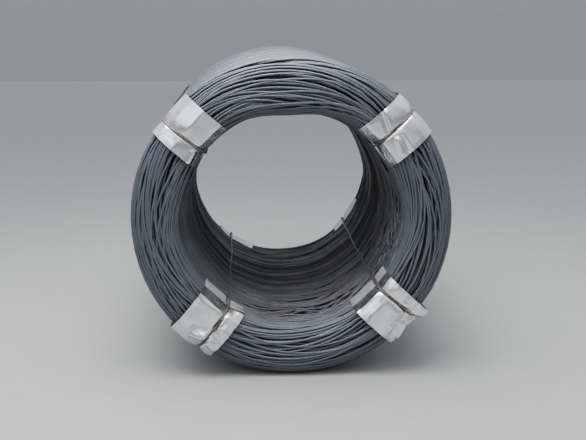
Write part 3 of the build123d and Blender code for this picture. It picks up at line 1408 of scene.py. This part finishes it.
@dataclass
class TieWire:
    """One tie: a wire loop pulled tight through the bore and back along the outside.

    Its two ends are twisted together in a knot on the outside or, with knot_on_end, on the front end. The
    knot's place is its distance from the coil's axis there, and else its place along the axis.
    """

    body: CoilBody
    place: Place
    bed: float = 0.005
    wire_sides: int = 14
    bend_steps: int = 10
    run_steps: int = 24
    end_steps: int = 3
    weld_distance: float = 0.0001
    sway: float = 0.003
    sway_waves: Span = (5.1, 13.7)
    quick_share: float = 0.5
    sway_fade_from: float = 0.45
    sway_fade_length: float = 0.20
    near_share: float = 0.8
    near_phase: float = 3.0
    far_phase: float = 5.0
    knot_on_end: bool = False
    knot_at: float = 0.0
    knot_length: float = 0.070
    knot_radius: float = 0.0034
    strand_radius: float = 0.0031
    strand_points: int = 40
    strand_bevel: int = 2
    tail_lift: float = 0.010
    twists: float = 2.6

    @property
    def node(self) -> str:
        """The node of the frame that this tie stands for."""
        return f"tie_wire_{self.place.value}"

    @property
    def angle(self) -> float:
        """The tie's angle round the coil, in radians."""
        return math.radians(TIE_DEGREES[self.place])

    @property
    def outward(self) -> Vector:
        """The heading away from the coil's axis, in the tie's plane."""
        return Vector((math.cos(self.angle), 0, math.sin(self.angle)))

    @property
    def sideways(self) -> Vector:
        """The heading square to the tie's plane."""
        return Vector((-math.sin(self.angle), 0, math.cos(self.angle)))

    def _space(self, radius: float, along: float) -> Vector:
        """A point in the tie's plane, by its distance from the coil's axis and its place along it."""
        point = self.body.to_space(np.array(self.angle), np.array(radius), np.array(along))
        return Vector(point.tolist())

    def _runs(self) -> tuple[float, float, float, float, float]:
        """Works out the loop's sizes.

        Returns:
            How far its inner run, its outer run and its ends lie out, and its inner and outer bend radii.
        """
        body = self.body
        slope = math.cos(math.radians(SLEEVE_SHIFT_DEGREES[self.place]))
        lift = body.tie_lift - self.bed
        inner = (body.flap_radius + body.seat_gap) / slope - lift
        outer = body.outer_radius / slope + lift
        return inner, outer, body.half_length + lift, body.mouth_rounding + lift, body.rim_rounding + lift

    def build(self, material: bpy.types.Material) -> list[bpy.types.Object]:
        """Draws the wire's section once and carries it round the loop by extruding and spinning.

        Args:
            material: The wire's finish.

        Returns:
            The wire and its knot.
        """
        inner, outer, end, inner_bend, outer_bend = self._runs()
        deselect_all()
        bpy.ops.mesh.primitive_circle_add(
            vertices=self.wire_sides,
            radius=self.body.tie_radius,
            fill_type="NOTHING",
            location=self._space(inner, -end + inner_bend),
            rotation=(math.radians(90), 0, 0),
        )
        piece = bpy.context.object
        bpy.ops.object.transform_apply(location=True, rotation=True, scale=True)
        bpy.ops.object.mode_set(mode="EDIT")
        bpy.ops.mesh.select_all(action="SELECT")
        along = Vector((0, 1, 0))
        long_in = 2 * (end - inner_bend)
        long_out = 2 * (end - outer_bend)
        short = outer - inner - inner_bend - outer_bend
        path = [
            (long_in, along, self.run_steps, self._space(inner + inner_bend, end - inner_bend)),
            (short, self.outward, self.end_steps, self._space(outer - outer_bend, end - outer_bend)),
            (long_out, -along, self.run_steps, self._space(outer - outer_bend, -end + outer_bend)),
            (short, -self.outward, self.end_steps, self._space(inner + inner_bend, -end + inner_bend)),
        ]
        for length, heading, steps, centre in path:
            for _step in range(steps):
                move = {"value": tuple(heading * (length / steps))}
                bpy.ops.mesh.extrude_edges_move(TRANSFORM_OT_translate=move)
            bpy.ops.mesh.spin(
                steps=self.bend_steps, angle=math.radians(90), center=centre, axis=self.sideways
            )
        bpy.ops.mesh.select_all(action="SELECT")
        bpy.ops.mesh.remove_doubles(threshold=self.weld_distance)
        bpy.ops.mesh.normals_make_consistent(inside=False)
        bpy.ops.object.mode_set(mode="OBJECT")
        self._wave(piece)
        bpy.ops.object.shade_smooth()
        finish_piece(piece, f"wire_{self.node}", material, self.node)
        return [piece, self._knot(material, outer, end)]

    def _wave(self, piece: bpy.types.Object) -> None:
        """Moves the long runs a little sideways, since soft wire is never quite straight.

        Args:
            piece: The wire.
        """
        slow, quick = self.sway_waves
        middle = self._space(0.0, 0.0)
        for vertex in piece.data.vertices:
            near = (vertex.co - middle).length_squared < self.body.outer_radius**2 * self.near_share
            phase = self.angle * (self.near_phase if near else self.far_phase)
            y = vertex.co.y
            free = 1 - min(1.0, max(0.0, (abs(y) - self.sway_fade_from) / self.sway_fade_length))
            wave = math.sin(slow * y + phase) + self.quick_share * math.sin(quick * y + phase)
            vertex.co += self.sideways * (self.sway * free * wave)

    def _strand(self, phase: float, centre: Vector, ahead: Vector, off: Vector) -> bpy.types.Object:
        """Draws one of the knot's two strands.

        Args:
            phase: The turn round the knot at which it starts, in radians.
            centre: The knot's middle.
            ahead: The heading along the knot.
            off: The heading away from the coil.

        Returns:
            The strand.
        """
        deselect_all()
        bpy.ops.curve.primitive_nurbs_path_add(location=(0, 0, 0))
        strand = bpy.context.object
        spline = strand.data.splines[0]
        spline.points.add(self.strand_points - len(spline.points))
        for number, point in enumerate(spline.points):
            share = number / (self.strand_points - 1)
            turn = phase + share * self.twists * 2 * math.pi
            lift = self.body.tie_radius + self.tail_lift * share**2
            round_knot = off * math.sin(turn) + self.sideways * math.cos(turn)
            offset = self.knot_radius * round_knot + off * lift
            middle = centre + ahead * ((share - 0.5) * self.knot_length)
            point.co = (*(middle + offset), 1.0)
        spline.order_u = 3
        spline.use_endpoint_u = True
        strand.data.bevel_depth = self.strand_radius
        strand.data.bevel_resolution = self.strand_bevel
        strand.data.use_fill_caps = True
        bpy.ops.object.convert(target="MESH")
        return bpy.context.object

    def _knot(self, material: bpy.types.Material, outer: float, end: float) -> bpy.types.Object:
        """Twists the wire's two ends together, either on the outside or on the front end.

        Args:
            material: The wire's finish.
            outer: How far the tie's outer run lies from the axis.
            end: How far its short runs lie from the coil's middle.

        Returns:
            The knot.
        """
        if self.knot_on_end:
            centre, ahead, off = self._space(self.knot_at, -end), self.outward, Vector((0, -1, 0))
        else:
            centre, ahead, off = self._space(outer, self.knot_at), Vector((0, 1, 0)), self.outward
        strands = [self._strand(phase, centre, ahead, off) for phase in (0.0, math.pi)]
        deselect_all()
        for strand in strands:
            strand.select_set(True)
        bpy.context.view_layer.objects.active = strands[0]
        bpy.ops.object.join()
        knot = bpy.context.object
        bpy.ops.object.shade_smooth()
        finish_piece(knot, f"knot_{self.place.value}", material, self.node)
        return knot


def make_ties(body: CoilBody) -> list[TieWire]:
    """Lists the four ties: the upper two twisted shut on the outside, the lower two on the front end.

    Args:
        body: The coil's main sizes.

    Returns:
        The ties.
    """
    right_high, left_high, left_low, right_low = Place
    return [
        TieWire(body, right_high, knot_at=-0.15),
        TieWire(body, left_high, knot_at=0.10),
        TieWire(body, left_low, knot_on_end=True, knot_at=0.520, knot_length=0.060),
        TieWire(body, right_low, knot_on_end=True, knot_at=0.585, knot_length=0.060),
    ]


def facing(place: Point, aim: Point) -> Euler:
    """The rotation that turns a light or a camera at one place towards another."""
    return (Vector(aim) - Vector(place)).to_track_quat("-Z", "Y").to_euler()


@dataclass(frozen=True)
class SoftLight:
    """A soft square light, with the length of its side and its power in watts."""

    name: str
    place: Point
    aim: Point
    size: float
    power: float

    def build(self) -> None:
        """Hangs the light."""
        data = bpy.data.lights.new(self.name, "AREA")
        data.energy = self.power
        data.size = self.size
        light = bpy.data.objects.new(self.name, data)
        light.location = self.place
        light.rotation_euler = facing(self.place, self.aim)
        bpy.context.scene.collection.objects.link(light)


@dataclass(frozen=True)
class Studio:
    """The plain floor, the soft light and the camera, none of them part of the coil."""

    floor_size: float = 40.0
    horizon: Colour = (0.38, 0.405, 0.44)
    zenith: Colour = (1.75, 1.83, 1.94)
    zenith_height: float = 0.8
    sky_strength: float = 0.75
    lights: tuple[SoftLight, ...] = (
        SoftLight("overhead", (-0.4, -0.85, 3.5), (0.0, -0.4, 0.8), 3.0, 370.0),
        SoftLight("front", (-2.6, -4.6, 2.6), (0.0, -0.6, 0.6), 1.8, 20.0),
    )
    camera_place: Point = (-0.21, -5.00, 1.45)
    camera_aim: Point = (0.0, -0.80, 0.655)
    focal_length: float = 66.0
    sensor_width: float = 36.0

    def build(self, floor_material: bpy.types.Material) -> None:
        """Makes the floor, the surround, the lights and the camera.

        Args:
            floor_material: The floor's finish.
        """
        self._floor(floor_material)
        self._sky()
        for light in self.lights:
            light.build()
        self._camera()

    def _floor(self, material: bpy.types.Material) -> None:
        """Lays the floor.

        Args:
            material: Its finish.
        """
        deselect_all()
        bpy.ops.mesh.primitive_plane_add(size=self.floor_size, location=(0, 0, 0))
        floor = bpy.context.object
        floor.name = "floor"
        floor.data.materials.append(material)

    def _sky(self) -> None:
        """Sets a pale surround that grows brighter from the horizon up."""
        world = bpy.data.worlds.new("surround")
        world.use_nodes = True
        tree = world.node_tree
        background = tree.nodes["Background"]
        place = tree.nodes.new("ShaderNodeTexCoord")
        split = tree.nodes.new("ShaderNodeSeparateXYZ")
        ramp = tree.nodes.new("ShaderNodeValToRGB")
        tree.links.new(place.outputs["Generated"], split.inputs["Vector"])
        tree.links.new(split.outputs["Z"], ramp.inputs["Fac"])
        tree.links.new(ramp.outputs["Color"], background.inputs["Color"])
        low, high = ramp.color_ramp.elements
        low.position = 0.0
        low.color = (*self.horizon, 1.0)
        high.position = self.zenith_height
        high.color = (*self.zenith, 1.0)
        background.inputs["Strength"].default_value = self.sky_strength
        bpy.context.scene.world = world

    def _camera(self) -> None:
        """Stands the camera where the photograph was taken and turns it to the coil."""
        data = bpy.data.cameras.new("camera")
        data.sensor_width = self.sensor_width
        data.lens = self.focal_length
        camera = bpy.data.objects.new("camera", data)
        camera.location = self.camera_place
        camera.rotation_euler = facing(self.camera_place, self.camera_aim)
        bpy.context.scene.collection.objects.link(camera)
        bpy.context.scene.camera = camera


def main() -> None:
    """Builds the studio, the rod, the sleeves and the ties in order, and reports each piece."""
    logging.basicConfig(level=logging.INFO, format="%(name)s: %(message)s")
    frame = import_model()
    body = CoilBody.from_frame(frame)
    Studio().build(PaleFloor().material())
    winding = RodWinding(body)
    pieces = winding.build(MillScale(body.outer_radius, body.bore_radius, winding.run_length).material())
    zinc, tie_steel = ZincSheet().material(), TieSteel().material()
    for sleeve in make_sleeves(body):
        pieces.append(sleeve.build(zinc))
    for tie in make_ties(body):
        pieces += tie.build(tie_steel)
    for piece in pieces:
        LOG.info("%s: %d faces", piece.name, len(piece.data.polygons))


if __name__ == "__main__":
    main()
